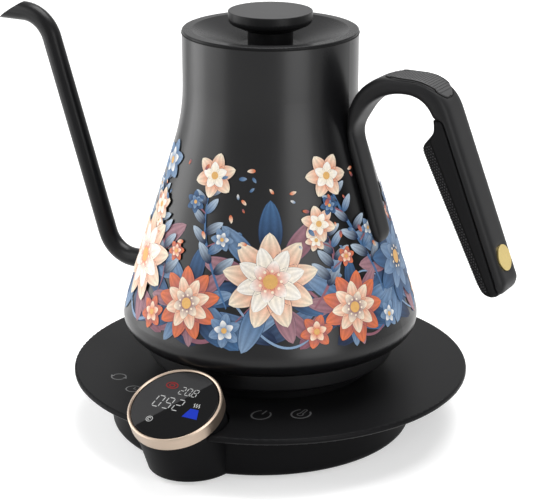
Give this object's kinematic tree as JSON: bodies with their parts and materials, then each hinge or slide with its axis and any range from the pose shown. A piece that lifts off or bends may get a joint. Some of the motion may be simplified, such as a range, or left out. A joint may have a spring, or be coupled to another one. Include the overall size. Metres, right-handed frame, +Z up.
{
  "type": "electric gooseneck kettle",
  "caption": "Cone-shaped electric pouring kettle with a thin curved spout, hooked side handle and lift-off lid, standing on a round power base with a tilted control dial.",
  "frame": {"origin": "on the table, under the kettle's axis", "axes": "+Z up, +X towards the handle, -X towards the spout, -Y towards the control dial"},
  "size_m": [0.2774, 0.2032, 0.1992],
  "materials": {
    "shell_coat": "satin black powder coat with a printed garland",
    "spout_coat": "satin black powder coat",
    "lid_coat": "satin dark grey coat",
    "knob_black": "fine matt",
    "handle_black": "smooth matt",
    "grip_black": "fine dotted matt",
    "pad_rubber": "fine dotted soft touch",
    "gold_metal": "brushed champagne anodised",
    "base_black": "fine matt",
    "plate_black": "satin with faint grey touch icons",
    "foot_black": "fine matt",
    "lens_black": "glossy black glass with a lit display",
    "screen": "gloss",
    "dark_rubber": "matt",
    "steel": "brushed",
    "heater_alloy": "as cast",
    "contact_brass": "bright",
    "board_green": "solder mask",
    "component_dark": "moulded",
    "inner_plastic": "moulded"
  },
  "bodies": {
    "base": {"base_tray": "base_black", "base_plate": "plate_black", "foot_ring": "dark_rubber", "base_screws": "steel", "cord_gland": "dark_rubber", "base_connector": "inner_plastic", "base_contacts": "contact_brass", "touch_electrodes": "contact_brass", "control_board": "board_green", "power_board": "board_green", "relay": "component_dark", "transformer": "component_dark", "capacitor": "component_dark", "display_hub": "inner_plastic", "display_lens": "lens_black", "display_module": "screen", "display_board": "board_green", "ring_sensor": "component_dark"},
    "dial": {"dial_ring": "gold_metal", "ring_carrier": "inner_plastic"},
    "dock": {"dock_ring": "base_black"},
    "kettle": {"kettle_shell": "shell_coat", "spout": "spout_coat", "kettle_foot": "foot_black", "foot_studs": "steel", "foot_screws": "steel", "heater_plate": "steel", "heat_spreader": "heater_alloy", "heating_element": "steel", "element_terminals": "steel", "thermal_cutout": "component_dark", "temperature_probe": "steel", "probe_seal": "dark_rubber", "kettle_connector": "inner_plastic", "kettle_contacts": "contact_brass", "handle_frame": "handle_black", "finger_grip": "grip_black", "thumb_pad": "pad_rubber", "handle_bracket": "steel", "handle_pin": "steel", "handle_badge": "gold_metal"},
    "lid": {"lid_dish": "lid_coat", "lid_cup": "steel", "lid_seal": "dark_rubber", "knob_stem": "knob_black", "knob_cap": "knob_black", "lid_screw": "steel"}
  },
  "joints": [
    {"name": "kettle_turn", "type": "hinge", "parent": "base", "child": "dock", "pos_m": [0, 0, 0.0305], "axis": [0, 0, 1], "continuous": true},
    {"name": "kettle_lift", "type": "slide", "parent": "dock", "child": "kettle", "axis": [0, 0, 1], "range_m": [0, 0.12]},
    {"name": "lid_lift", "type": "slide", "parent": "kettle", "child": "lid", "axis": [0, 0, 1], "range_m": [0, 0.06]},
    {"name": "dial_turn", "type": "hinge", "parent": "base", "child": "dial", "pos_m": [0, -0.0883, 0.0363], "axis": [0, -0.4258, 0.9048], "continuous": true}
  ]
}
